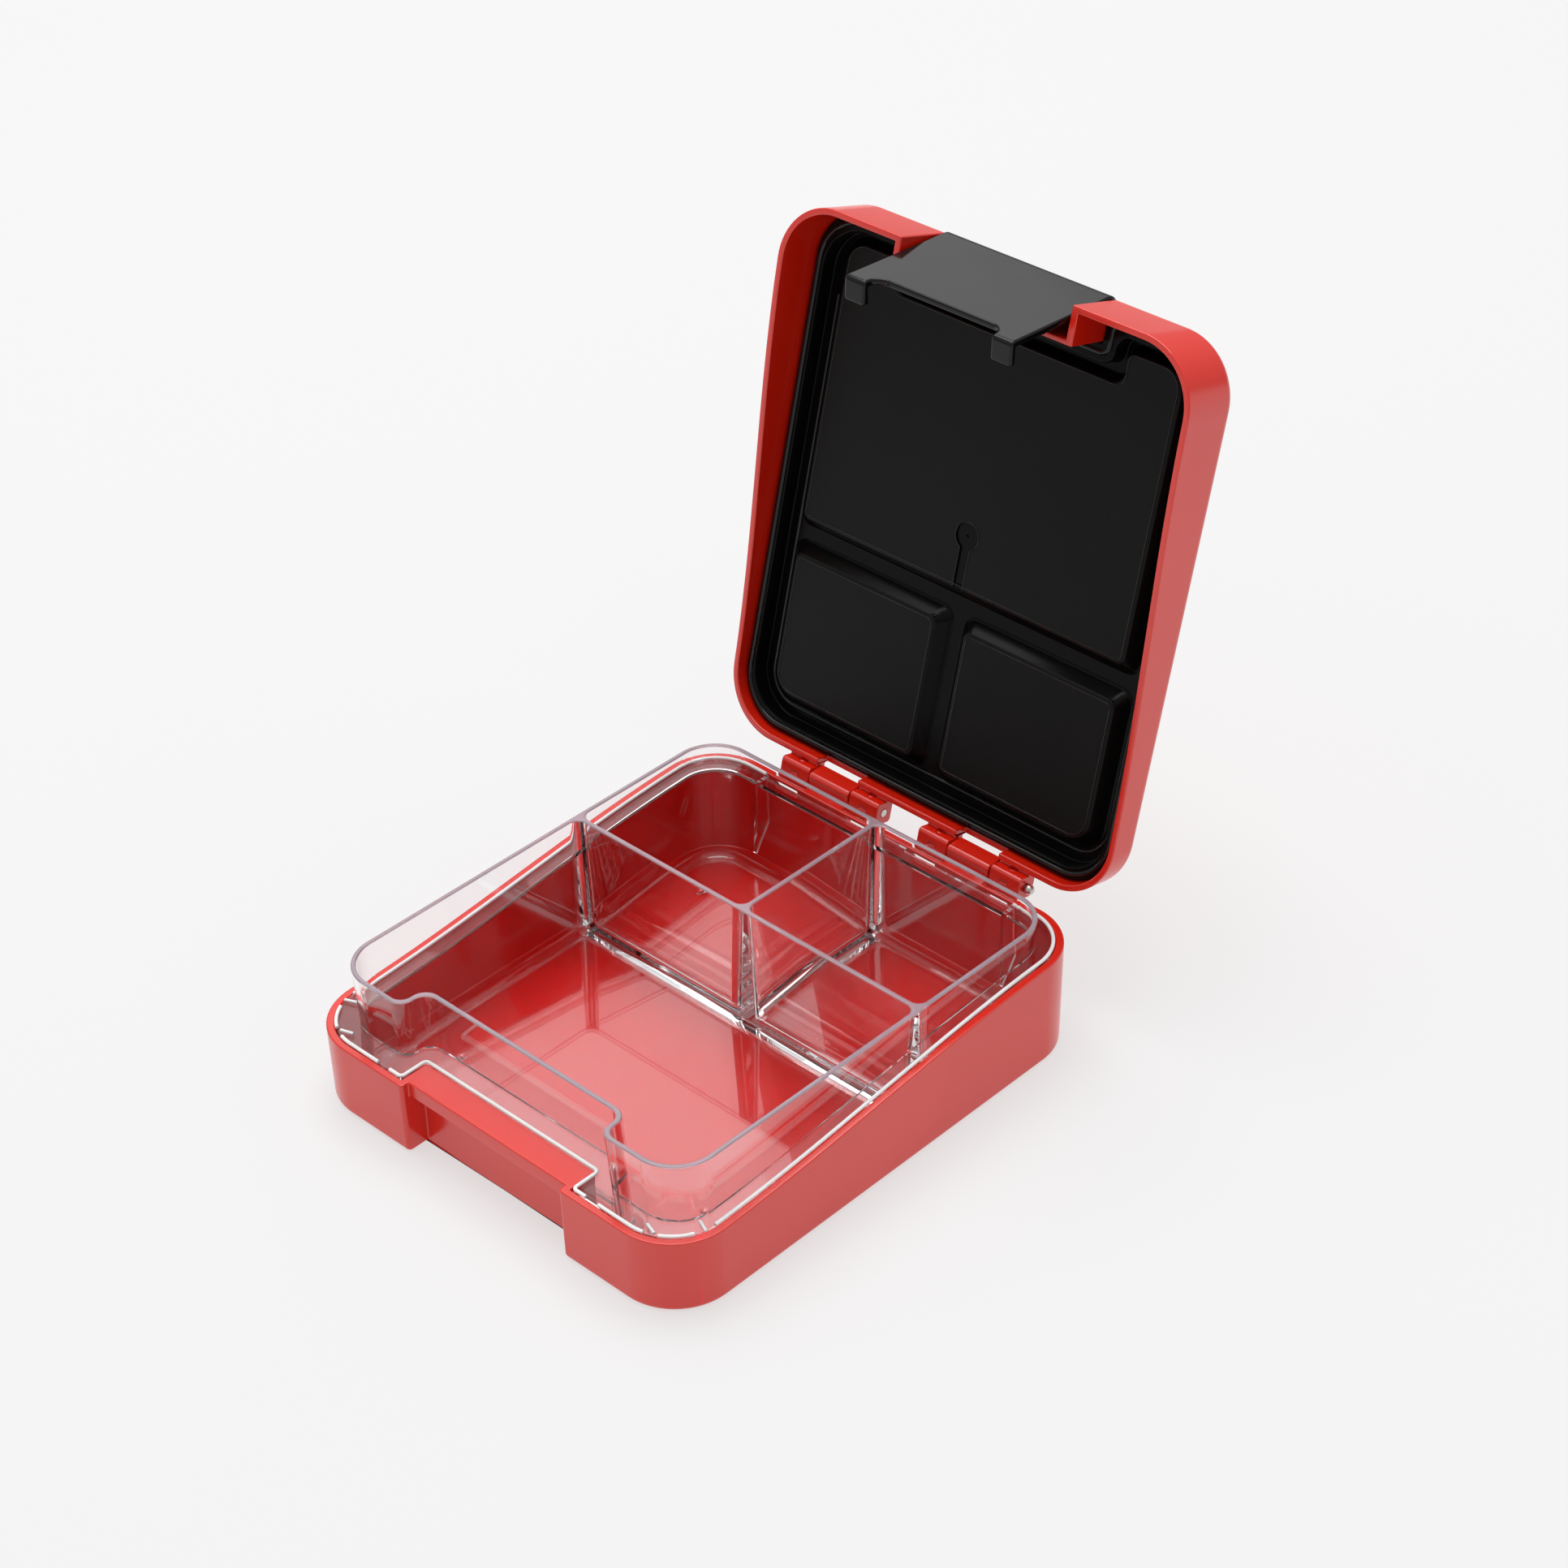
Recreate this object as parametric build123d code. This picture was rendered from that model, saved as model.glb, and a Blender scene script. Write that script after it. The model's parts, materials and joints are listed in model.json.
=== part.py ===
from build123d import *
import os

# Children's lunch box: base, lift-out clear tray, hinged lid with a black sealing liner,
# and one wide front latch. Millimetres; +Z up, latch side -Y, hinge side +Y, table z = 0.
# Everything is drawn with the lid closed; the lid group is then swung open for export.

# ---- overall size ----
WIDTH = 155.0
DEPTH = 174.0
HEIGHT = 48.5
CORNER_R = 20.0
WALL = 2.4
FLOOR = 2.0
LID_SKIN = 2.0
LID_WALL = 2.25
DRAFT_BASE = 0.7
DRAFT_LID = 0.9
FOOT_EDGE_R = 2.0
LID_EDGE_R = 4.0

# ---- seam between base and lid: low at the front, sloping up to the hinge ----
SEAM_FRONT = 25.2
SEAM_REAR = 35.9
SEAM_RUN = 74.0
SEAM_PULL = 25.0
SEAM_GAP = 0.3

# ---- latch recess in the front ----
NOTCH_HALF = 32.3
NOTCH_BACK = -78.6
NOTCH_INNER = -74.9
LEDGE_FRONT = -84.0
LEDGE_UNDER = 20.2
LID_NOTCH_HALF = 31.8
LID_NOTCH_BACK = -76.6
LID_NOTCH_TOP_BACK = -78.4
LID_NOTCH_STEP = 40.0

# ---- clear tray ----
TRAY_HALF = 70.3
TRAY_FRONT = -78.0
TRAY_REAR = 79.4
TRAY_TOP = 44.8
TRAY_WALL = 1.5
TRAY_FLOOR = 1.6
TRAY_RIM_R = 0.45
TRAY_DRAFT = 2.2
TRAY_CORNER_R = 14.0
JOG_HALF = 40.0
JOG_BACK = -68.5
JOG_R = 4.4
DIVIDER_Y = 19.9
DIVIDER_HALF = 0.8
POCKET_R = 3.0
TRAY_GAP = 0.4
TRAY_PIP_R = 3.0
FLANGE_T = 1.6
FLANGE_EDGE = 3.0
FLANGE_CORNER = 1.6
FLANGE_SET_BACK = 1.3
SET_BACK_IN = 8.0
SET_BACK_OUT = 49.8
GATE_R = 2.4
GATE_DROP = 0.25

# ---- hinge ----
HINGE_Y = 91.0
HINGE_Z = 37.0
HINGE_CENTRE = 28.5
BARREL_HALF = 8.2
KNUCKLE_IN = 8.6
KNUCKLE_OUT = 20.2
KNUCKLE_SIZE = 7.4
PIN_R = 1.25
PIN_PLAY = 0.05
HEAD_R = 1.7

# ---- latch ----
LATCH_HALF = 31.2
LATCH_FACE = -86.8
LATCH_T = 2.2
LATCH_PIN_Y = -82.8
LATCH_PIN_Z = 44.3
LATCH_BARREL_R = 4.0
LATCH_FOOT = 1.6
LATCH_SCOOP = 5.6
SCOOP_R = 4.0
TAB_W = 7.6
TAB_REACH = -79.1
RIB_TOP = 19.5
RIB_REACH = -82.9

# ---- liner ----
LINER_BACK = 46.5
GROOVE_FLOOR = 45.2
LIP_BOTTOM = 39.6
PAD_FACE = 40.8
PAD_BEVEL = 3.4
PAD_HALF = 66.4
PAD_SKIN = 1.4
CHANNEL_Y0 = 17.1
CHANNEL_Y1 = 22.1
CHANNEL_HALF_X = 2.4
PAD_REAR = 74.8
PAD_FRONT = -76.2
PAD_JOG_HALF = 42.0
PAD_JOG_BACK = -66.0

# ---- resting pose ----
LID_OPEN = 105.0
LATCH_HANG = 11.5

BIG = 400.0


def box(x0, x1, y0, y1, z0, z1):
    """A block between two corners."""
    size = Box(x1 - x0, y1 - y0, z1 - z0)
    return Pos((x0 + x1) / 2, (y0 + y1) / 2, (z0 + z1) / 2) * size


def rod(radius, x0, x1, y, z):
    """A round bar lying along X."""
    bar = Cylinder(radius, x1 - x0)
    return Pos((x0 + x1) / 2, y, z) * Rot(0, 90, 0) * bar


def plan(inset, radius=None):
    """The outer plan of the box, pulled in by an inset."""
    r = CORNER_R - inset if radius is None else radius
    return RectangleRounded(WIDTH - 2 * inset, DEPTH - 2 * inset, r)


def drafted(low, high, z0, z1):
    """A straight-sided body between two plans."""
    return loft([Pos(0, 0, z0) * low, Pos(0, 0, z1) * high], ruled=True)


def seam_side(below, shift):
    """All the space below (or above) the sloping seam, moved up by a shift."""
    a, b = SEAM_FRONT + shift, SEAM_REAR + shift
    far = -BIG if below else BIG
    slope = Bezier((-SEAM_RUN, a), (-SEAM_PULL, a), (SEAM_PULL, b), (SEAM_RUN, b))
    edge = [
        Line((-BIG, far), (-BIG, a)),
        Line((-BIG, a), (-SEAM_RUN, a)),
        slope,
        Line((SEAM_RUN, b), (BIG, b)),
        Line((BIG, b), (BIG, far)),
        Line((BIG, far), (-BIG, far)),
    ]
    face = make_face(edge)
    upright = Plane(origin=(-BIG / 2, 0, 0), x_dir=(0, 1, 0), z_dir=(1, 0, 0))
    return extrude(upright * face, BIG)


def around_hinge(shape):
    """Move a closed-lid shape to the open resting pose."""
    axis = Axis((0, HINGE_Y, HINGE_Z), (-1, 0, 0))
    return shape.rotate(axis, LID_OPEN)


def hanging(shape):
    """Let a closed-latch shape hang inward about the latch pin."""
    axis = Axis((0, LATCH_PIN_Y, LATCH_PIN_Z), (1, 0, 0))
    return shape.rotate(axis, LATCH_HANG)


def polygon_face(corners):
    """A closed face from (x, y, corner radius) entries."""
    outline = Polyline([(x, y) for x, y, r in corners], close=True)
    face = make_face(outline)
    for x, y, r in corners:
        if r > 0:
            near = face.vertices().sort_by_distance((x, y, 0))[0]
            face = fillet(near, r)
    return face


# ---------------------------------------------------------------- base shell
def base_cavity():
    """The hollow inside the red base, stepping round the latch recess."""
    low = plan(WALL + DRAFT_BASE)
    high = plan(WALL, CORNER_R - WALL)
    hollow = drafted(low, high, FLOOR, SEAM_REAR + 2)
    step = NOTCH_HALF + WALL
    return hollow - box(-step, step, -BIG, NOTCH_INNER, 0, BIG)


def base_barrel(centre):
    """One hinge barrel standing off the rear wall."""
    s = KNUCKLE_SIZE / 2
    x0, x1 = centre - BARREL_HALF, centre + BARREL_HALF
    block = box(x0, x1, HINGE_Y - s, HINGE_Y + s, HINGE_Z - s, HINGE_Z + s)
    block = fillet(block.edges().filter_by(Axis.X), 1.7)
    root = box(x0, x1, DEPTH / 2 - 1.0, HINGE_Y, HINGE_Z - s - 2.2, SEAM_REAR - 0.4)
    brace = Pos(x0, DEPTH / 2 - 0.6, HINGE_Z - s - 2.2) * brace_wedge(x1 - x0)
    return block + root + brace


def brace_wedge(length):
    """A three-sided gusset under a barrel, drawn from the origin along +X."""
    rise, reach = 6.0, 5.4
    side = make_face(Polyline([(0, 0), (reach, 0.4), (0, -rise)], close=True))
    upright = Plane(origin=(0, 0, 0), x_dir=(0, 1, 0), z_dir=(1, 0, 0))
    return extrude(upright * side, length)


def make_base():
    low = plan(DRAFT_BASE)
    body = drafted(low, plan(0), 0, SEAM_REAR + 1)
    foot = body.edges().group_by(Axis.Z)[0]
    body = fillet(foot, FOOT_EDGE_R)
    body -= box(-NOTCH_HALF, NOTCH_HALF, -BIG, NOTCH_BACK, -1, BIG)
    corners = body.edges().filter_by(Axis.Z, tolerance=3).filter_by(
        lambda e: abs(abs(e.center().X) - NOTCH_HALF) < 0.3 and e.center().Y < NOTCH_BACK - 3)
    body = fillet(corners, 1.2)
    body += box(-NOTCH_HALF, NOTCH_HALF, LEDGE_FRONT, NOTCH_BACK + 0.5, LEDGE_UNDER, SEAM_REAR)
    body -= base_cavity()
    body &= seam_side(True, 0)
    for side in (-1, 1):
        c = side * HINGE_CENTRE
        for k in (-1, 1):
            mid = c + k * (KNUCKLE_IN + KNUCKLE_OUT) / 2
            half = (KNUCKLE_OUT - KNUCKLE_IN) / 2
            body -= box(mid - half - 0.4, mid + half + 0.4, DEPTH / 2 - 1.1, BIG, 31.5, BIG)
            body -= box(mid - 4.5, mid + 4.5, DEPTH / 2 - 5, BIG, 31.4, 34.6)
        body += base_barrel(c)
        body -= rod(PIN_R + PIN_PLAY, c - 30, c + 30, HINGE_Y, HINGE_Z)
    return body


# ---------------------------------------------------------------- inner tray
def tray_plan(inset):
    """Tray outline with the S-shaped jogs around the latch recess."""
    i = inset
    x, f, r = TRAY_HALF - i, TRAY_FRONT + i, TRAY_REAR - i
    jx, jy = JOG_HALF + i, JOG_BACK + i
    big, out, back = TRAY_CORNER_R - i, JOG_R - i * 0.5, JOG_R + i * 0.5
    return polygon_face([
        (-x, f, big), (-jx, f, out), (-jx, jy, back), (jx, jy, back), (jx, f, out), (x, f, big),
        (x, r, big), (-x, r, big)])


def front_pocket(inset):
    i = TRAY_WALL + inset
    x, f, r = TRAY_HALF - i, TRAY_FRONT + i, DIVIDER_Y - DIVIDER_HALF - inset
    jx, jy = JOG_HALF + i, JOG_BACK + i
    big, out, back = TRAY_CORNER_R - i, JOG_R - i * 0.5, JOG_R + i * 0.5
    return polygon_face([
        (-x, f, big), (-jx, f, out), (-jx, jy, back), (jx, jy, back), (jx, f, out), (x, f, big),
        (x, r, 3.2), (-x, r, 3.2)])


def rear_pocket(inset, side):
    i = TRAY_WALL + inset
    x0, x1 = DIVIDER_HALF + inset, TRAY_HALF - i
    f, r = DIVIDER_Y + DIVIDER_HALF + inset, TRAY_REAR - i
    big = TRAY_CORNER_R - i
    rows = [(x0, f, 3.2), (x1, f, 3.2), (x1, r, big), (x0, r, 3.2)]
    if side < 0:
        rows = [(-x, y, c) for x, y, c in reversed(rows)]
    return polygon_face(rows)


def pocket(shape_at):
    """One food pocket: narrower at the bottom, with a rounded floor edge."""
    z0 = FLOOR + TRAY_GAP + TRAY_FLOOR
    lower = shape_at(TRAY_DRAFT * 0.95)
    rise = TRAY_TOP - z0
    above = TRAY_DRAFT * 0.95 / rise
    tool = drafted(lower, shape_at(-above), z0, TRAY_TOP + 1)
    return fillet(tool.edges().group_by(Axis.Z)[0], POCKET_R)


def tray_flange():
    """The sloping shelf round the tray, set back at the rear to clear the hinge openings."""
    x, r = WIDTH / 2 - FLANGE_EDGE, CORNER_R - FLANGE_EDGE
    front, rear = -DEPTH / 2 + FLANGE_EDGE, DEPTH / 2 - FLANGE_EDGE
    step, back = NOTCH_HALF + WALL + 0.6, NOTCH_INNER + 0.3
    edge = polygon_face([
        (-x, front, r), (-step, front, 0.6), (-step, back, FLANGE_CORNER),
        (step, back, FLANGE_CORNER), (step, front, 0.6), (x, front, r), (x, rear, r), (-x, rear, r)])
    slab = extrude(edge, 60) & seam_side(True, 0) & seam_side(False, -FLANGE_T)
    for x0, x1 in ((-SET_BACK_OUT, -SET_BACK_IN), (SET_BACK_IN, SET_BACK_OUT)):
        slab -= box(x0, x1, rear - FLANGE_SET_BACK, BIG, 0, BIG)
    return slab


def make_tray():
    under = FLOOR + TRAY_GAP
    outer = drafted(tray_plan(TRAY_DRAFT), tray_plan(0), under, TRAY_TOP)
    outer = fillet(outer.edges().group_by(Axis.Z)[0], POCKET_R)
    body = outer + tray_flange()
    for x in (-50.5, 50.5):
        body += gusset(x)
        for y in (-48.0, 48.0):
            body += rest_pip(x, y)
    body -= pocket(front_pocket)
    body -= pocket(lambda i: rear_pocket(i, 1))
    body -= pocket(lambda i: rear_pocket(i, -1))
    rim = body.faces().sort_by(Axis.Z)[-1]
    body = fillet(rim.edges(), TRAY_RIM_R)
    gate = Pos(0, DIVIDER_Y, under) * Cylinder(GATE_R, 2 * GATE_DROP)
    return body + gate


def rest_pip(x, y):
    """A low domed foot that carries the tray on the floor of the base."""
    dome = Pos(x, y, FLOOR + TRAY_PIP_R) * Sphere(TRAY_PIP_R)
    return dome & box(x - 5, x + 5, y - 5, y + 5, FLOOR, FLOOR + TRAY_GAP + 0.3)


def gusset(x):
    """A thin rib with a pointed foot, hanging under the rear of the flange."""
    y0, y1 = TRAY_REAR - 3.0, DEPTH / 2 - FLANGE_EDGE - 0.3
    side = Polyline([(y0, SEAM_REAR - 0.8), (y1, SEAM_REAR - 0.8), (y1, 18.0), (y0 + 1.4, 9.0),
                     (y0, 9.0)], close=True)
    upright = Plane(origin=(x - 0.7, 0, 0), x_dir=(0, 1, 0), z_dir=(1, 0, 0))
    return extrude(upright * make_face(side), 1.4)


# ---------------------------------------------------------------- lid shell
def lid_knuckle(x0, x1):
    """One lid knuckle: a rounded square block round the hinge pin."""
    s = KNUCKLE_SIZE / 2
    y0, y1, z0, z1 = HINGE_Y - s, HINGE_Y + s, HINGE_Z - s, HINGE_Z + s
    block = box(x0, x1, y0, y1, z0, z1)
    block = fillet(block.edges().filter_by(Axis.X), 1.4)
    root = box(x0, x1, DEPTH / 2 - 1.6, HINGE_Y, HINGE_Z + 0.4, z1)
    mid = (x0 + x1) / 2
    slit = box(mid - 1.4, mid + 1.4, HINGE_Y - 0.7, HINGE_Y + 0.7, z0 - 1, z0 + 0.5)
    dimple = Pos(mid, y0, HINGE_Z) * Rot(90, 0, 0) * Cylinder(1.3, 0.5)
    return block + root - slit - dimple


def make_lid():
    body = drafted(plan(0.2), plan(0.2 + DRAFT_LID), SEAM_FRONT - 1, HEIGHT)
    top = body.edges().group_by(Axis.Z)[-1]
    body = fillet(top, LID_EDGE_R)
    hollow = drafted(plan(LID_WALL), plan(LID_WALL + DRAFT_LID * 0.9), SEAM_FRONT - 1,
                     HEIGHT - LID_SKIN)
    step = LID_NOTCH_HALF + WALL
    body -= hollow - box(-step, step, -BIG, NOTCH_INNER, 0, BIG)
    n = LID_NOTCH_HALF
    body -= box(-n, n, -BIG, LID_NOTCH_BACK, 0, LID_NOTCH_STEP)
    body -= box(-n, n, -BIG, LID_NOTCH_TOP_BACK, 0, BIG)
    body &= seam_side(False, SEAM_GAP)
    for side in (-1, 1):
        c = side * HINGE_CENTRE
        slot = BARREL_HALF + 0.3
        body -= box(c - slot, c + slot, DEPTH / 2 - 8, BIG, 0, HINGE_Z + 3.9)
        body += lid_knuckle(c - KNUCKLE_OUT, c - KNUCKLE_IN)
        body += lid_knuckle(c + KNUCKLE_IN, c + KNUCKLE_OUT)
        body -= rod(PIN_R, c - 30, c + 30, HINGE_Y, HINGE_Z)
    end = n + WALL - 0.6
    body -= rod(PIN_R + PIN_PLAY, -end, end, LATCH_PIN_Y, LATCH_PIN_Z)
    return body


# ---------------------------------------------------------------- lid liner
def liner_plan(inset):
    """Liner outline: fits inside the lid and steps round the latch recess."""
    i = WALL + 1.0 + inset
    step = LID_NOTCH_HALF + WALL + 0.2 + inset
    return plan(i) - box(-step, step, -BIG, NOTCH_INNER + 0.2 + inset, -1, 1)


def pad(corners, side_shift=0.0):
    """A raised pad with sloping sides, thin-walled and hollow behind."""
    foot = polygon_face(corners(0, 4.2))
    face = polygon_face(corners(PAD_BEVEL, 2.4))
    body = drafted(face, foot, PAD_FACE, GROOVE_FLOOR)
    hole = polygon_face(corners(PAD_BEVEL + 0.9, 1.8))
    hollow = drafted(hole, hole, PAD_FACE + PAD_SKIN, LINER_BACK + 1)
    return body, hollow


def front_pad(i, r):
    x, f, b = PAD_HALF - i, PAD_FRONT + i * 0.4, CHANNEL_Y0 - i
    jx, jy = PAD_JOG_HALF + i * 0.4, PAD_JOG_BACK + i * 0.4
    return [(-x, f, r + 5), (-jx, f, 3.0), (-jx, jy, 4.0), (jx, jy, 4.0), (jx, f, 3.0),
            (x, f, r + 5), (x, b, r), (-x, b, r)]


def rear_pad(i, r):
    x0, x1, f, b = CHANNEL_HALF_X + i, PAD_HALF - i, CHANNEL_Y1 + i, PAD_REAR - i
    return [(x0, f, r), (x1, f, r), (x1, b, r + 5), (x0, b, r)]


def rear_pad_mirror(i, r):
    return [(-x, y, c) for x, y, c in reversed(rear_pad(i, r))]


def make_liner():
    body = extrude(Pos(0, 0, GROOVE_FLOOR) * liner_plan(0), LINER_BACK - GROOVE_FLOOR)
    ring = extrude(Pos(0, 0, LIP_BOTTOM) * liner_plan(0), LINER_BACK - LIP_BOTTOM)
    ring -= extrude(Pos(0, 0, LIP_BOTTOM - 1) * tray_plan(-0.6), 20)
    body += ring
    for shape in (front_pad, rear_pad, rear_pad_mirror):
        solid, hollow = pad(shape)
        body += solid
        body -= hollow
    return body - keyhole()


def keyhole():
    """A shallow round dimple with a stem running down to the channel."""
    depth = 0.5
    dimple = Pos(0, -3.0, PAD_FACE + depth / 2 - 0.01) * Cylinder(4.4, depth)
    stem = box(-1.9, 1.9, -3.0, CHANNEL_Y0 - PAD_BEVEL, PAD_FACE - 0.01, PAD_FACE + depth)
    pip = Pos(0, -3.0, PAD_FACE + depth) * Cylinder(0.6, 0.8)
    return dimple + stem + pip


# ---------------------------------------------------------------- latch
def make_latch():
    h, y0, y1 = LATCH_HALF, LATCH_FACE, LATCH_FACE + LATCH_T
    body = box(-h, h, y0, y1, LATCH_FOOT, LATCH_PIN_Z)
    body += rod(LATCH_BARREL_R, -h, h, LATCH_PIN_Y, LATCH_PIN_Z)
    tabs = box(-h, h, y0, TAB_REACH, LATCH_FOOT, LATCH_FOOT + LATCH_T)
    body += tabs
    outer_edge = body.edges().filter_by(Axis.X).group_by(Axis.Z)[0].sort_by(Axis.Y)[0:1]
    body = fillet(outer_edge, 1.6)
    gap = h - TAB_W
    scoop = box(-gap, gap, y0 - 1, 0, LATCH_FOOT - 4, LATCH_FOOT + LATCH_SCOOP)
    scoop = fillet(scoop.edges().filter_by(Axis.Y).group_by(Axis.Z)[-1], SCOOP_R)
    body -= scoop
    body += box(-h + 2, h - 2, y1 - 0.2, RIB_REACH, RIB_TOP - 2.2, RIB_TOP)
    return body - rod(PIN_R + PIN_PLAY, -h - 1, h + 1, LATCH_PIN_Y, LATCH_PIN_Z)


# ---------------------------------------------------------------- pins
def make_hinge_pin(side):
    c = side * HINGE_CENTRE
    x0, x1 = c - KNUCKLE_OUT, c + KNUCKLE_OUT
    bar = rod(PIN_R, x0, x1, HINGE_Y, HINGE_Z)
    if side > 0:
        bar += Pos(x1 + 1.2, HINGE_Y, HINGE_Z) * Sphere(HEAD_R) - box(-BIG, x1, -BIG, BIG, -BIG, BIG)
    return bar


def make_latch_pin():
    end = LID_NOTCH_HALF + WALL - 0.8
    return rod(PIN_R, -end, end, LATCH_PIN_Y, LATCH_PIN_Z)


def save(name, shape):
    shape.label = name
    export_step(shape, "parts/" + name + ".step")
    print(name, round(shape.volume), shape.is_valid, len(shape.solids()))


def main():
    os.makedirs("parts", exist_ok=True)
    save("base_shell", make_base())
    save("inner_tray", make_tray())
    save("lid_shell", around_hinge(make_lid()))
    save("lid_liner", around_hinge(make_liner()))
    save("hinge_pin_left", around_hinge(make_hinge_pin(-1)))
    save("hinge_pin_right", around_hinge(make_hinge_pin(1)))
    save("latch_pin", around_hinge(hanging(make_latch_pin())))
    save("latch", around_hinge(hanging(make_latch())))


main()
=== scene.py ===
import json
import math

import bmesh
import bpy
from mathutils import Matrix, Quaternion, Vector

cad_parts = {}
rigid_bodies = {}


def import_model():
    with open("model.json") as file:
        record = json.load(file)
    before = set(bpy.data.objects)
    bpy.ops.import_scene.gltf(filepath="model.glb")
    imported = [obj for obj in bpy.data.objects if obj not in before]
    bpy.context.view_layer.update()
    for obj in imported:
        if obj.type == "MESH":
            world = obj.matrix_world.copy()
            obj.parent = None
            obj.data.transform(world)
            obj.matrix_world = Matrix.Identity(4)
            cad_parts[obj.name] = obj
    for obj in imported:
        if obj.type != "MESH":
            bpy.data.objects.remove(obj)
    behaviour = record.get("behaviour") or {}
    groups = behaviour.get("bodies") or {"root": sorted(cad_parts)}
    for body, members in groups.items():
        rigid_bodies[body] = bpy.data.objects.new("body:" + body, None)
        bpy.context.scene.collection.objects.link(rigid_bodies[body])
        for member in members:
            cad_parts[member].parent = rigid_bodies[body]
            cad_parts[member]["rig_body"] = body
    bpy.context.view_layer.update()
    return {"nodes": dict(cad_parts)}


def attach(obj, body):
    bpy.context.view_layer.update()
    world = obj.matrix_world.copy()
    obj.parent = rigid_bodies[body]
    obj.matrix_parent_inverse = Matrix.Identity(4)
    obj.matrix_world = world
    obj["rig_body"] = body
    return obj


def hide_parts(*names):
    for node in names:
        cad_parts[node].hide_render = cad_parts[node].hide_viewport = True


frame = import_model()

nodes = frame["nodes"]
MM = 0.001

# ---- camera: where it stands round the box, in degrees and metres ----
CAMERA_AZIMUTH = 44.278
CAMERA_ELEVATION = 35.218
CAMERA_ROLL = -1.445
CAMERA_DISTANCE = 1.04577
CAMERA_TARGET = Vector((-0.01317, 0.05233, 0.06611))
CAMERA_LENS = 80.907

# ---- driving sizes of the box that the trims follow, in millimetres ----
HALF_WIDTH = 77.5
HALF_DEPTH = 87.0
CORNER_R = 20.0
SEAM_FRONT = 25.2
SEAM_REAR = 35.9
SEAM_RUN = 74.0
SEAM_PULL = 25.0
TRAY_TOP = 44.8
HINGE = Vector((0.0, 91.0, 37.0))
LID_OPEN = math.radians(105)
SWING = Matrix.Rotation(-LID_OPEN, 4, "X")
OPENING = Matrix.Translation(HINGE) @ SWING @ Matrix.Translation(-HINGE)
LINER_NORMAL = (0.0, math.sin(LID_OPEN), math.cos(LID_OPEN))

# ---- the bead on the tray's flange: its inset from the box, and where its runs break ----
BEAD_R = 0.58
BEAD_INSET = 3.2
BEAD_LIFT = 0.25
RECESS_X = 35.4
RECESS_Y = -74.2
RECESS_INNER_R = 1.4
RECESS_OUTER_R = 1.2
FRONT_BREAK = (40.3, 45.2)
CORNER_BREAK_X = (62.9, 65.1)
CORNER_BREAK_Y = (-73.5, -68.7)
HINGE_BREAK_X = 50.6
CORNER_RIBS = (((60.4, -80.1), (64.4, -81.5)), ((70.1, -69.8), (74.2, -71.5)))
CORNER_RIB_LIFT = 0.1
CORNER_RIB_R = 0.5

# ---- liner, drawn on the closed lid ----
LIP_X, LIP_FRONT, LIP_REAR, LIP_Z = 72.5, -81.1, 81.8, 39.7
LIP_STEP_X, LIP_STEP_Y = 37.3, -71.9
LIP_R, LIP_RIB_R = 15, 0.8
GROOVE_X, GROOVE_FRONT, GROOVE_REAR, GROOVE_Z = 67.55, -56.0, 76.3, 45.65
GROOVE_R, GROOVE_RIB_R = 10, 0.75
STEP_OUTER_R, STEP_INNER_R = 2, 3
PAD_HALF = 66.4
PAD_BEVEL = 3.5
PAD_JOG_X, PAD_JOG_Y = 42.0, -66.0
PAD_REAR = 74.8
PAD_LINE_FRONT = -74.4
PAD_LINE_INSET = 4.4
PAD_LINE_JOG_INSET = 1.76
PAD_LINE_CORNER_R, PAD_LINE_CHANNEL_R = 6, 2
PAD_LINE_R = 0.2
CHANNEL_FRONT, CHANNEL_REAR, CHANNEL_HALF_X = 17.1, 22.1, 2.4
KEYHOLE_R, KEYHOLE_Y, STEM_HALF = 4.4, -3.0, 1.9
PAD_FACE = 40.8
PAD_DEPTH = MM * (PAD_FACE - HINGE.z + HINGE.dot(Vector(LINER_NORMAL)))
KEYHOLE_ZONE_X = 5.5
KEYHOLE_ZONE_Z = (109, 133)

# ---- well of the base, under the tray: two corners of its box ----
WELL_LOW = (-75.2, -75.2, 1.5)
WELL_HIGH = (75.2, 84.9, 34.0)


# ---------------------------------------------------------------- nodes and colours
def linear(code):
    """An sRGB hex colour as linear red, green, blue and full alpha."""
    parts = [int(code[i:i + 2], 16) / 255 for i in (1, 3, 5)]
    return [p / 12.92 if p <= 0.04045 else ((p + 0.055) / 1.055) ** 2.4 for p in parts] + [1.0]


def add(tree, kind, settings=None, inputs=None):
    """A node with its settings, and its sockets set to a value or linked from another socket."""
    node = tree.nodes.new(kind)
    for name, value in (settings or {}).items():
        setattr(node, name, value)
    for name, value in (inputs or {}).items():
        if isinstance(value, bpy.types.NodeSocket):
            tree.links.new(value, node.inputs[name])
        else:
            node.inputs[name].default_value = value
    return node


def new_material(name):
    """An empty node material with its output, ready for a shader."""
    material = bpy.data.materials.new(name)
    material.use_nodes = True
    tree = material.node_tree
    tree.nodes.clear()
    return material, tree, tree.nodes.new("ShaderNodeOutputMaterial")


def pitch(size):
    """The noise scale that gives features of this size in millimetres."""
    return 1 / (size * MM)


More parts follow.
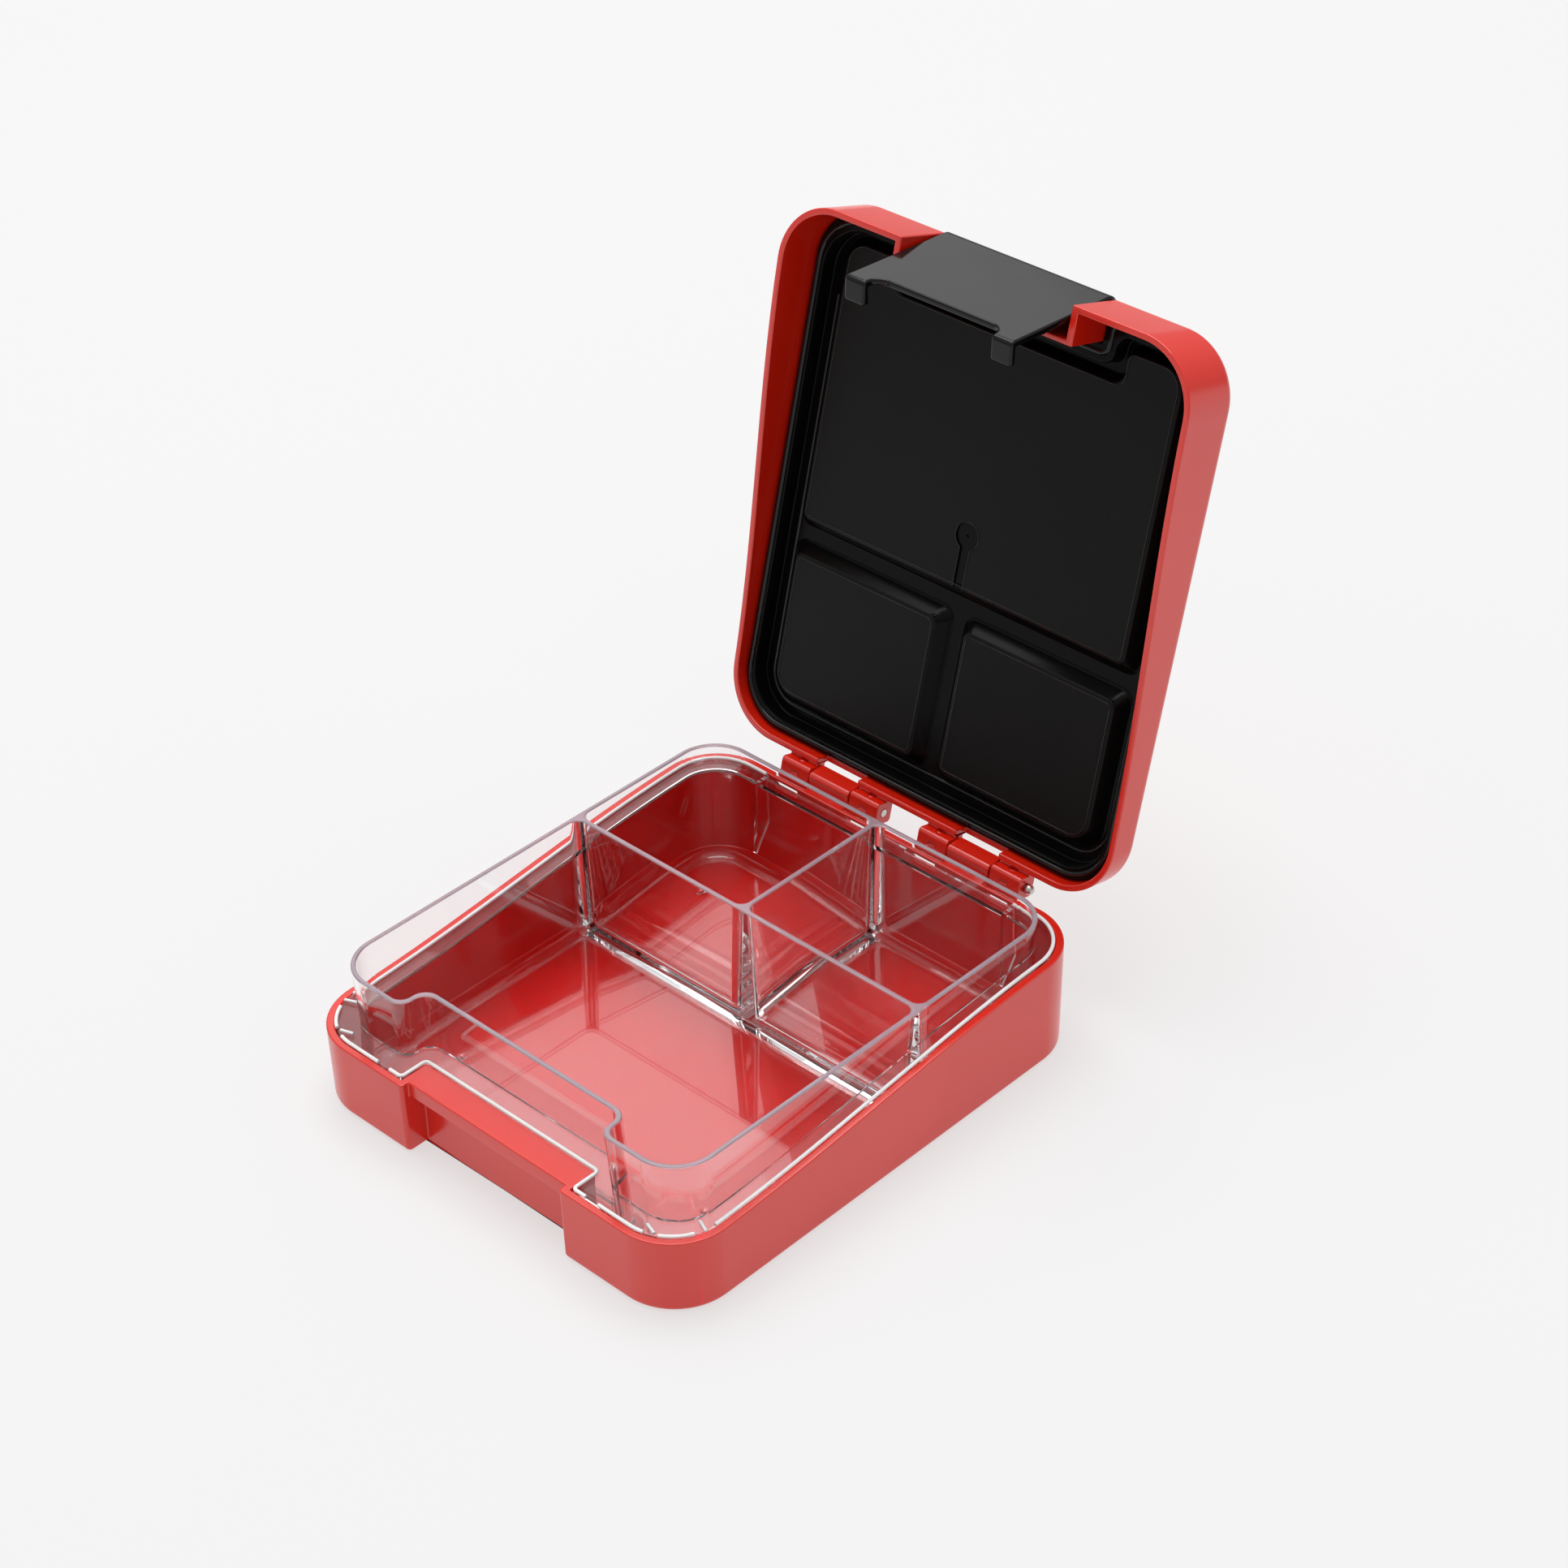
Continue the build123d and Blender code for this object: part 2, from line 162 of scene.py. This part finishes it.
# ---------------------------------------------------------------- materials
def within(tree, vector, low, high):
    """A mask that is 1 inside a box given by two corners in millimetres, else 0."""
    middle = [(a + b) / 2 * MM for a, b in zip(low, high)]
    stretch = [2 / ((b - a) * MM) for a, b in zip(low, high)]
    local = add(tree, "ShaderNodeVectorMath", {"operation": "SUBTRACT"}, {0: vector, 1: middle})
    scaled = add(tree, "ShaderNodeVectorMath", {"operation": "MULTIPLY"}, {
        0: local.outputs[0], 1: stretch})
    size = add(tree, "ShaderNodeVectorMath", {"operation": "ABSOLUTE"}, {0: scaled.outputs[0]})
    axes = add(tree, "ShaderNodeSeparateXYZ", inputs={"Vector": size.outputs[0]}).outputs
    flat = add(tree, "ShaderNodeMath", {"operation": "MAXIMUM"}, {0: axes["X"], 1: axes["Y"]})
    whole = add(tree, "ShaderNodeMath", {"operation": "MAXIMUM"}, {0: flat.outputs[0], 1: axes["Z"]})
    inside = add(tree, "ShaderNodeMath", {"operation": "LESS_THAN"}, {0: whole.outputs[0], 1: 1.0})
    return inside.outputs[0]


def red_abs():
    """Glossy injection-moulded ABS: an even strong red, a broad soft reflection, faint orange peel.
    The well of the base is set brighter, to stand for the light gathered in it under the clear tray."""
    material, tree, out = new_material("red_moulded_abs")
    place = add(tree, "ShaderNodeTexCoord").outputs["Object"]
    cloud = add(tree, "ShaderNodeTexNoise", inputs={"Vector": place, "Scale": pitch(45), "Detail": 3.0})
    peel = add(tree, "ShaderNodeTexNoise", inputs={"Vector": place, "Scale": pitch(2.4), "Detail": 1.0})
    wipe = add(tree, "ShaderNodeTexNoise", inputs={"Vector": place, "Scale": pitch(17), "Detail": 4.0})
    bump = add(tree, "ShaderNodeBump", inputs={
        "Height": peel.outputs["Fac"], "Strength": 0.12, "Distance": 0.03 * MM})
    well = within(tree, place, WELL_LOW, WELL_HIGH)
    contrast = add(tree, "ShaderNodeMapRange", inputs={
        "Value": cloud.outputs["Fac"], "From Min": 0.3, "From Max": 0.7})
    shade = add(tree, "ShaderNodeMix", {"data_type": "RGBA"}, {
        0: contrast.outputs["Result"], 6: linear("#D81D0A"), 7: linear("#DE230D")})
    colour = add(tree, "ShaderNodeMix", {"data_type": "RGBA"}, {
        0: well, 6: shade.outputs[2], 7: linear("#F60E06")})
    polish = add(tree, "ShaderNodeMapRange", inputs={
        "Value": wipe.outputs["Fac"], "To Min": 0.16, "To Max": 0.26})
    shader = add(tree, "ShaderNodeBsdfPrincipled", inputs={
        "Base Color": colour.outputs[2], "Normal": bump.outputs["Normal"],
        "Roughness": polish.outputs["Result"], "IOR": 1.54, "Specular IOR Level": 0.75})
    tree.links.new(shader.outputs["BSDF"], out.inputs["Surface"])
    return material


def clear_copolyester():
    """Clear moulded copolyester: water-clear polished faces, and a rim that is violet-grey end on, partly
    the plastic's own tint and partly a painted glow standing for light refracted along the edge.
    """
    material, tree, out = new_material("clear_moulded_copolyester")
    place = add(tree, "ShaderNodeTexCoord").outputs["Object"]
    height = add(tree, "ShaderNodeSeparateXYZ", inputs={"Vector": place}).outputs["Z"]
    # painted glow: the top of the tray is tinted violet-grey and made less clear, standing for light
    # refracted through the rim, on top of the plastic's own tint end on
    rim_painted_glow = add(tree, "ShaderNodeMapRange", {"interpolation_type": "SMOOTHSTEP"}, {
        "Value": height, "From Min": (TRAY_TOP - 0.75) * MM, "From Max": (TRAY_TOP - 0.1) * MM})
    painted_rim_tint = add(tree, "ShaderNodeMix", {"data_type": "RGBA"}, {
        0: rim_painted_glow.outputs["Result"], 6: linear("#FFFEFF"), 7: linear("#C4B4C0")})
    polish = add(tree, "ShaderNodeMapRange", inputs={
        "Value": rim_painted_glow.outputs["Result"], "To Min": 0.0, "To Max": 0.12})
    clarity = add(tree, "ShaderNodeMapRange", inputs={
        "Value": rim_painted_glow.outputs["Result"], "To Min": 1.0, "To Max": 0.45})
    shader = add(tree, "ShaderNodeBsdfPrincipled", inputs={
        "Base Color": painted_rim_tint.outputs[2], "IOR": 1.5, "Roughness": polish.outputs["Result"],
        "Transmission Weight": clarity.outputs["Result"]})
    tree.links.new(shader.outputs["BSDF"], out.inputs["Surface"])
    return material


def bead_painted_highlight():
    """The same copolyester painted nearly white along its rounded bead: a painted highlight for the room's
    light that the bead gathers.
    """
    material, tree, out = new_material("copolyester_bead_painted_highlight")
    place = add(tree, "ShaderNodeTexCoord").outputs["Object"]
    drift = add(tree, "ShaderNodeTexNoise", inputs={"Vector": place, "Scale": pitch(11), "Detail": 2.0})
    polish = add(tree, "ShaderNodeMapRange", inputs={
        "Value": drift.outputs["Fac"], "To Min": 0.04, "To Max": 0.12})
    clarity = add(tree, "ShaderNodeMapRange", inputs={
        "Value": drift.outputs["Fac"], "To Min": 0.0, "To Max": 0.2})
    shader = add(tree, "ShaderNodeBsdfPrincipled", inputs={
        # painted highlight: a white base colour with little transmission, so that the bead shows white
        "Base Color": linear("#FFFFFF"), "IOR": 1.5, "Roughness": polish.outputs["Result"],
        "Transmission Weight": clarity.outputs["Result"]})
    tree.links.new(shader.outputs["BSDF"], out.inputs["Surface"])
    return material


def black_silicone():
    """Moulded silicone rubber: polished black ribs and grooves, pad faces spark-eroded to a satin."""
    material, tree, out = new_material("black_moulded_silicone")
    place = add(tree, "ShaderNodeTexCoord").outputs["Object"]
    depth = add(tree, "ShaderNodeVectorMath", {"operation": "DOT_PRODUCT"}, {
        0: place, 1: LINER_NORMAL})
    level = add(tree, "ShaderNodeMath", {"operation": "COMPARE"}, {
        0: depth.outputs["Value"], 1: PAD_DEPTH, 2: 0.3 * MM})
    face = level.outputs["Value"]
    # the etched grain is finer than this: it is drawn coarser so that it shows
    grain = add(tree, "ShaderNodeTexNoise", inputs={"Vector": place, "Scale": pitch(0.7), "Detail": 2.0})
    dust = add(tree, "ShaderNodeTexNoise", inputs={"Vector": place, "Scale": pitch(29), "Detail": 3.0})
    etched = add(tree, "ShaderNodeMath", {"operation": "MULTIPLY"}, {0: grain.outputs["Fac"], 1: face})
    bump = add(tree, "ShaderNodeBump", inputs={
        "Height": etched.outputs["Value"], "Strength": 0.2, "Distance": 0.04 * MM})
    contrast = add(tree, "ShaderNodeMapRange", inputs={
        "Value": dust.outputs["Fac"], "From Min": 0.3, "From Max": 0.7})
    shade = add(tree, "ShaderNodeMix", {"data_type": "RGBA"}, {
        0: contrast.outputs["Result"], 6: linear("#070707"), 7: linear("#0B0B0A")})
    polish = add(tree, "ShaderNodeMapRange", inputs={"Value": face, "To Min": 0.2, "To Max": 0.4})
    glint = add(tree, "ShaderNodeMapRange", inputs={"Value": face, "To Min": 0.12, "To Max": 0.22})
    shader = add(tree, "ShaderNodeBsdfPrincipled", inputs={
        "Base Color": shade.outputs[2], "Normal": bump.outputs["Normal"], "IOR": 1.41,
        "Roughness": polish.outputs["Result"], "Specular IOR Level": glint.outputs["Result"]})
    tree.links.new(shader.outputs["BSDF"], out.inputs["Surface"])
    return material


def polished_silicone():
    """The sealing ribs and fine lines of the liner: the same rubber from a polished cut, so they glint."""
    material, tree, out = new_material("black_polished_silicone")
    place = add(tree, "ShaderNodeTexCoord").outputs["Object"]
    dust = add(tree, "ShaderNodeTexNoise", inputs={"Vector": place, "Scale": pitch(17), "Detail": 3.0})
    contrast = add(tree, "ShaderNodeMapRange", inputs={
        "Value": dust.outputs["Fac"], "From Min": 0.3, "From Max": 0.7})
    shade = add(tree, "ShaderNodeMix", {"data_type": "RGBA"}, {
        0: contrast.outputs["Result"], 6: linear("#080808"), 7: linear("#0C0C0C")})
    polish = add(tree, "ShaderNodeMapRange", inputs={
        "Value": dust.outputs["Fac"], "To Min": 0.1, "To Max": 0.2})
    shader = add(tree, "ShaderNodeBsdfPrincipled", inputs={
        "Base Color": shade.outputs[2], "Roughness": polish.outputs["Result"],
        "IOR": 1.41, "Specular IOR Level": 0.5})
    tree.links.new(shader.outputs["BSDF"], out.inputs["Surface"])
    return material


def black_abs():
    """Polished injection-moulded ABS, black: a clear grey reflection of the room and bright edges."""
    material, tree, out = new_material("black_polished_abs")
    place = add(tree, "ShaderNodeTexCoord").outputs["Object"]
    peel = add(tree, "ShaderNodeTexNoise", inputs={"Vector": place, "Scale": pitch(3.3), "Detail": 2.0})
    wipe = add(tree, "ShaderNodeTexNoise", inputs={"Vector": place, "Scale": pitch(14), "Detail": 4.0})
    bump = add(tree, "ShaderNodeBump", inputs={
        "Height": peel.outputs["Fac"], "Strength": 0.1, "Distance": 0.04 * MM})
    contrast = add(tree, "ShaderNodeMapRange", inputs={
        "Value": wipe.outputs["Fac"], "From Min": 0.3, "From Max": 0.7})
    shade = add(tree, "ShaderNodeMix", {"data_type": "RGBA"}, {
        0: contrast.outputs["Result"], 6: linear("#090A09"), 7: linear("#0E0F0E")})
    polish = add(tree, "ShaderNodeMapRange", inputs={
        "Value": wipe.outputs["Fac"], "To Min": 0.08, "To Max": 0.15})
    shader = add(tree, "ShaderNodeBsdfPrincipled", inputs={
        "Base Color": shade.outputs[2], "Normal": bump.outputs["Normal"],
        "Roughness": polish.outputs["Result"], "IOR": 1.54, "Specular IOR Level": 0.24})
    tree.links.new(shader.outputs["BSDF"], out.inputs["Surface"])
    return material


def steel_wire():
    """Drawn stainless wire, headed cold: bright, with fine lines along the draw."""
    material, tree, out = new_material("drawn_stainless_steel")
    place = add(tree, "ShaderNodeTexCoord").outputs["Object"]
    # the lines of the draw are finer than this: they are drawn coarser so that they show
    squeeze = add(tree, "ShaderNodeMapping", inputs={
        "Vector": place, "Scale": (pitch(17), pitch(0.4), pitch(0.4))})
    lines = add(tree, "ShaderNodeTexNoise", inputs={"Vector": squeeze.outputs["Vector"], "Scale": 1.0})
    bump = add(tree, "ShaderNodeBump", inputs={
        "Height": lines.outputs["Fac"], "Strength": 0.15, "Distance": 0.03 * MM})
    polish = add(tree, "ShaderNodeMapRange", inputs={
        "Value": lines.outputs["Fac"], "To Min": 0.14, "To Max": 0.3})
    shader = add(tree, "ShaderNodeBsdfPrincipled", inputs={
        "Base Color": linear("#CFCBC6"), "Normal": bump.outputs["Normal"], "Metallic": 1.0,
        "Roughness": polish.outputs["Result"]})
    tree.links.new(shader.outputs["BSDF"], out.inputs["Surface"])
    return material


RED = red_abs()
CLEAR = clear_copolyester()
BEAD_PAINTED_HIGHLIGHT = bead_painted_highlight()
SILICONE = black_silicone()
RIB = polished_silicone()
BLACK = black_abs()
STEEL = steel_wire()


# ---------------------------------------------------------------- meshes
def link(name, mesh, material):
    """A new object that holds a mesh and one material, at the origin."""
    piece = bpy.data.objects.new(name, mesh)
    bpy.context.scene.collection.objects.link(piece)
    mesh.materials.clear()
    mesh.materials.append(material)
    return piece


def settle(piece):
    """Bakes a piece's modifiers into its mesh and removes them."""
    graph = bpy.context.evaluated_depsgraph_get()
    mesh = bpy.data.meshes.new_from_object(piece.evaluated_get(graph), depsgraph=graph)
    piece.modifiers.clear()
    piece.data = mesh


def finish_node(name, material):
    """Gives a CAD node its finish."""
    data = nodes[name].data
    data.materials.clear()
    data.materials.append(material)


def soften(name, node, material, width, segments=2, keep=None):
    """A CAD node again with small moulded radii along its sharp edges, apart from edges to keep."""
    bm = bmesh.new()
    bm.from_mesh(nodes[node].data)
    low = [min(v.co[i] for v in bm.verts) for i in range(3)]
    high = [max(v.co[i] for v in bm.verts) for i in range(3)]
    bmesh.ops.remove_doubles(bm, verts=bm.verts, dist=0.002 * MM)
    bmesh.ops.dissolve_limit(bm, angle_limit=math.radians(0.6), verts=bm.verts, edges=bm.edges)
    sharp = [e for e in bm.edges if e.is_manifold and e.calc_face_angle() > math.radians(32)]
    if keep:
        sharp = [e for e in sharp if not all(keep(v.co / MM) for v in e.verts)]
    bmesh.ops.bevel(bm, geom=sharp, offset=width * MM, segments=segments, profile=0.5,
                    affect="EDGES", clamp_overlap=False, loop_slide=True)
    bmesh.ops.remove_doubles(bm, verts=bm.verts, dist=0.01 * MM)
    for vert in bm.verts:
        vert.co = [min(max(c, a), b) for c, a, b in zip(vert.co, low, high)]
    for face in bm.faces:
        face.smooth = True
    mesh = bpy.data.meshes.new(name)
    bm.to_mesh(mesh)
    bm.free()
    piece = link(name, mesh, material)
    mesh.set_sharp_from_angle(angle=math.radians(40))
    weigh = piece.modifiers.new("even_shading", "WEIGHTED_NORMAL")
    weigh.keep_sharp = True
    settle(piece)
    finish_node(node, material)
    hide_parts(node)
    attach(piece, nodes[node]["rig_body"])


def at_keyhole(p):
    """Whether a point in millimetres is on the liner's keyhole, which is too narrow to round."""
    return abs(p.x) < KEYHOLE_ZONE_X and KEYHOLE_ZONE_Z[0] < p.z < KEYHOLE_ZONE_Z[1]


soften("base_moulding", "base_shell", RED, width=0.45)
soften("lid_moulding", "lid_shell", RED, width=0.45)
soften("latch_moulding", "latch", BLACK, width=0.8, segments=4)
soften("liner_moulding", "lid_liner", SILICONE, width=0.6, segments=3, keep=at_keyhole)
finish_node("inner_tray", CLEAR)
for pin in ("latch_pin", "hinge_pin_left", "hinge_pin_right"):
    finish_node(pin, STEEL)


# ---------------------------------------------------------------- swept trims
def seam_height(y):
    """Height of the sloping joint between base and lid, and of the tray's flange, at depth y."""
    if abs(y) >= SEAM_RUN:
        return SEAM_FRONT if y < 0 else SEAM_REAR
    low, high = 0.0, 1.0
    for _ in range(24):
        t = (low + high) / 2
        u = 1 - t
        reach = SEAM_RUN * (t ** 3 - u ** 3) + 3 * SEAM_PULL * u * t * (t - u)
        low, high = (t, high) if reach < y else (low, t)
    return SEAM_FRONT + (SEAM_REAR - SEAM_FRONT) * t * t * (3 - 2 * t)


def rounded(corners, closed=True, steps=10):
    """Points along straight runs joined by arcs; each corner is x, y and a radius."""
    points = []
    for i, (x, y, r) in enumerate(corners):
        here = Vector((x, y))
        if not closed and i in (0, len(corners) - 1):
            points.append(here)
            continue
        before = (Vector(corners[i - 1][:2]) - here).normalized()
        after = (Vector(corners[(i + 1) % len(corners)][:2]) - here).normalized()
        half = before.angle(after) / 2
        centre = here + (before + after).normalized() * (r / math.sin(half))
        first = here + before * (r / math.tan(half)) - centre
        turn = math.copysign(math.pi - 2 * half, before.cross(after))
        points += [centre + Matrix.Rotation(turn * -k / steps, 2) @ first for k in range(steps + 1)]
    return points


def subdivide(points, step):
    """The same open path with a point at least every step, so that it can follow a slope."""
    out = []
    for a, b in zip(points, points[1:]):
        n = max(1, math.ceil((b - a).length / step))
        out += [a.lerp(b, k / n) for k in range(n)]
    return out + [points[-1]]


def sweep_tree():
    """Geometry Nodes: a round section swept along every path of the mesh, its ends closed."""
    tree = bpy.data.node_groups.new("swept_trim", "GeometryNodeTree")
    sockets = {}
    tree.interface.new_socket("Geometry", in_out="OUTPUT", socket_type="NodeSocketGeometry")
    for name, kind in (("Geometry", "Geometry"), ("Radius", "Float"), ("Sides", "Int"),
                       ("Material", "Material")):
        item = tree.interface.new_socket(name, in_out="INPUT", socket_type="NodeSocket" + kind)
        sockets[name] = item.identifier
    given = add(tree, "NodeGroupInput").outputs
    path = add(tree, "GeometryNodeMeshToCurve", inputs={"Mesh": given["Geometry"]})
    section = add(tree, "GeometryNodeCurvePrimitiveCircle", inputs={
        "Radius": given["Radius"], "Resolution": given["Sides"]})
    sweep = add(tree, "GeometryNodeCurveToMesh", inputs={
        "Curve": path.outputs["Curve"], "Profile Curve": section.outputs["Curve"], "Fill Caps": True})
    real = add(tree, "GeometryNodeRealizeInstances", inputs={"Geometry": sweep.outputs["Mesh"]})
    dressed = add(tree, "GeometryNodeSetMaterial", inputs={
        "Geometry": real.outputs["Geometry"], "Material": given["Material"]})
    add(tree, "NodeGroupOutput", inputs={"Geometry": dressed.outputs["Geometry"]})
    return tree, sockets


SWEEP, SWEEP_SOCKETS = sweep_tree()


def swept(name, paths, radius, material, body, sides=10):
    """A trim of round section along paths of 3-D points in millimetres; each path says if it closes."""
    verts, edges = [], []
    for points, closed in paths:
        start, n = len(verts), len(points)
        verts += [tuple(p * MM) for p in points]
        edges += [(start + k, start + (k + 1) % n) for k in range(n if closed else n - 1)]
    mesh = bpy.data.meshes.new(name)
    mesh.from_pydata(verts, edges, [])
    piece = link(name, mesh, material)
    sweep = piece.modifiers.new("sweep", "NODES")
    sweep.node_group = SWEEP
    sweep[SWEEP_SOCKETS["Radius"]] = radius * MM
    sweep[SWEEP_SOCKETS["Sides"]] = sides
    sweep[SWEEP_SOCKETS["Material"]] = material
    settle(piece)
    piece.data.shade_smooth()
    piece.data.set_sharp_from_angle(angle=math.radians(50))
    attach(piece, body)


def mirrored(paths):
    """The paths and their mirror images across the middle of the box."""
    return paths + [([Vector((-p.x, p.y, p.z)) for p in points], closed) for points, closed in paths]


def on_seam(points, lift):
    """Plan points raised to the sloping joint, and a little above it."""
    return [Vector((p.x, p.y, seam_height(p.y) + lift)) for p in points]


def bead_paths():
    """The bead on the flange's outer edge, right half, in runs with a break at each moulding gap."""
    x, rear, r = HALF_WIDTH - BEAD_INSET, HALF_DEPTH - BEAD_INSET, CORNER_R - BEAD_INSET
    front = -rear
    recess = rounded([
        (0.0, RECESS_Y, 0), (RECESS_X, RECESS_Y, RECESS_INNER_R),
        (RECESS_X, front, RECESS_OUTER_R), (FRONT_BREAK[0], front, 0)], False)
    side = rounded([
        (FRONT_BREAK[1], front, 0), (x, front, r), (x, rear, r), (HINGE_BREAK_X, rear, 0)], False, 24)
    runs, run = [], []
    for p in subdivide(side, 2.0):
        in_corner_x = p.y < 0 and CORNER_BREAK_X[0] < p.x < CORNER_BREAK_X[1]
        in_corner_y = CORNER_BREAK_Y[0] < p.y < CORNER_BREAK_Y[1]
        gap = in_corner_x or in_corner_y
        if gap and run:
            runs.append(run)
            run = []
        if not gap:
            run.append(p)
    runs.append(run)
    return [(on_seam(points, BEAD_LIFT), False) for points in [recess] + runs]


def opened(points, z):
    """Points drawn on the closed lid at height z, swung to the open lid."""
    return [OPENING @ Vector((p.x, p.y, z)) for p in points]


def across(corners):
    """The same corners on the other side of the middle, in reverse order."""
    return [(-x, y, r) for x, y, r in reversed(corners)]


def lip_path():
    """The sealing lip's loop round the liner, stepped inward behind the latch recess."""
    left = [
        (-LIP_X, LIP_FRONT, LIP_R), (-LIP_STEP_X, LIP_FRONT, STEP_OUTER_R),
        (-LIP_STEP_X, LIP_STEP_Y, STEP_INNER_R)]
    rear = [(LIP_X, LIP_REAR, LIP_R), (-LIP_X, LIP_REAR, LIP_R)]
    return opened(rounded(left + across(left) + rear), LIP_Z)


def groove_path():
    """The rib in the liner's groove: up one side, across the hinge end and down the other."""
    left = [(-GROOVE_X, GROOVE_FRONT, 0), (-GROOVE_X, GROOVE_REAR, GROOVE_R)]
    return opened(rounded(left + across(left), False), GROOVE_Z)


def pad_lines():
    """The fine raised line just inside the edge of each pad face, and round the keyhole."""
    i = PAD_LINE_INSET
    x, y0, y1, rear = PAD_HALF - i, CHANNEL_FRONT - i, CHANNEL_REAR + i, PAD_REAR - i
    jog_x, jog_y = PAD_JOG_X + PAD_LINE_JOG_INSET, PAD_JOG_Y + PAD_LINE_JOG_INSET
    inner = CHANNEL_HALF_X + i
    large, small = PAD_LINE_CORNER_R, PAD_LINE_CHANNEL_R
    left = [
        (-x, PAD_LINE_FRONT, large), (-jog_x, PAD_LINE_FRONT, STEP_OUTER_R),
        (-jog_x, jog_y, STEP_INNER_R)]
    front_pad = left + across(left) + [(x, y0, small), (-x, y0, small)]
    right_pad = [(inner, y1, small), (x, y1, small), (x, rear, large), (inner, rear, small)]
    start = math.asin(STEM_HALF / KEYHOLE_R)
    ring = [start + k * 2 * (math.pi - start) / 32 for k in range(33)]
    arc = [Vector((KEYHOLE_R * math.sin(a), KEYHOLE_Y + KEYHOLE_R * math.cos(a))) for a in ring]
    stem_foot = CHANNEL_FRONT - PAD_BEVEL
    keyhole = [Vector((STEM_HALF, stem_foot))] + arc + [Vector((-STEM_HALF, stem_foot))]
    outlines = [(opened(rounded(c), PAD_FACE), True) for c in (front_pad, right_pad, across(right_pad))]
    return outlines + [(opened(keyhole, PAD_FACE), False)]


ribs = [[Vector(p) for p in rib] for rib in CORNER_RIBS]
rib_paths = [(on_seam(points, CORNER_RIB_LIFT), False) for points in ribs]
# the bead and the corner ribs both take the painted white highlight
swept("tray_flange_bead", mirrored(bead_paths()), BEAD_R, BEAD_PAINTED_HIGHLIGHT, "base")
swept("tray_corner_ribs", mirrored(rib_paths), CORNER_RIB_R, BEAD_PAINTED_HIGHLIGHT, "base")
swept("liner_lip_rib", [(lip_path(), True)], LIP_RIB_R, RIB, "lid", 12)
swept("liner_groove_rib", [(groove_path(), False)], GROOVE_RIB_R, RIB, "lid", 12)
swept("liner_pad_lines", pad_lines(), PAD_LINE_R, RIB, "lid", 8)


# ---------------------------------------------------------------- studio
def make_floor():
    """A white acrylic table, lit a little from inside, so that shadows stay faint."""
    mesh = bpy.data.meshes.new("studio_floor")
    r = 6.0
    mesh.from_pydata([(-r, -r, 0), (r, -r, 0), (r, r, 0), (-r, r, 0)], [], [(0, 1, 2, 3)])
    material, tree, out = new_material("lit_white_acrylic_table")
    shader = add(tree, "ShaderNodeBsdfPrincipled", inputs={
        "Base Color": linear("#888888"), "Roughness": 0.9, "Specular IOR Level": 0.1,
        "Emission Color": linear("#FFFFFF"), "Emission Strength": 0.61})
    tree.links.new(shader.outputs["BSDF"], out.inputs["Surface"])
    link("studio_floor", mesh, material)


def make_light(name, place, size, power, target=(0, 0.05, 0.08)):
    """A round softbox aimed at the box; its place and width in metres, its power in watts."""
    light = bpy.data.lights.new(name, "AREA")
    light.shape, light.size, light.energy = "DISK", size, power
    lamp = bpy.data.objects.new(name, light)
    lamp.location = place
    lamp.rotation_mode = "QUATERNION"
    lamp.rotation_quaternion = (Vector(target) - Vector(place)).to_track_quat("-Z", "Y")
    bpy.context.scene.collection.objects.link(lamp)


def make_world():
    """A white room that gets brighter towards its ceiling."""
    world = bpy.data.worlds.new("soft_studio")
    world.use_nodes = True
    tree = world.node_tree
    way = add(tree, "ShaderNodeTexCoord").outputs["Generated"]
    up = add(tree, "ShaderNodeSeparateXYZ", inputs={"Vector": way}).outputs["Z"]
    strength = add(tree, "ShaderNodeMapRange", inputs={"Value": up, "To Min": 0.3, "To Max": 0.88})
    background = tree.nodes["Background"]
    background.inputs["Color"].default_value = linear("#FFFFFF")
    tree.links.new(strength.outputs["Result"], background.inputs["Strength"])
    bpy.context.scene.world = world


def make_camera():
    """A long lens, a little above the box and to the right of its latch."""
    a, e = math.radians(CAMERA_AZIMUTH), math.radians(CAMERA_ELEVATION)
    back = Vector((math.sin(a) * math.cos(e), -math.cos(a) * math.cos(e), math.sin(e)))
    data = bpy.data.cameras.new("camera")
    data.lens, data.sensor_width = CAMERA_LENS, 36.0
    data.clip_start, data.clip_end = 0.05, 50.0
    camera = bpy.data.objects.new("camera", data)
    camera.location = CAMERA_TARGET + back * CAMERA_DISTANCE
    camera.rotation_mode = "QUATERNION"
    aim = (-back).to_track_quat("-Z", "Y")
    camera.rotation_quaternion = aim @ Quaternion((0, 0, 1), math.radians(CAMERA_ROLL))
    bpy.context.scene.collection.objects.link(camera)
    bpy.context.scene.camera = camera


make_floor()
make_world()
make_light("overhead_softbox", place=(-0.5, 0.3, 2.3), size=2.0, power=36)
make_light("back_softbox", place=(-1.6, 1.65, 1.62), size=1.4, power=4)
make_camera()
bpy.context.scene.view_settings.view_transform = "Standard"
cycles = bpy.context.scene.cycles
cycles.max_bounces, cycles.transmission_bounces = 32, 32
cycles.glossy_bounces, cycles.diffuse_bounces = 32, 5
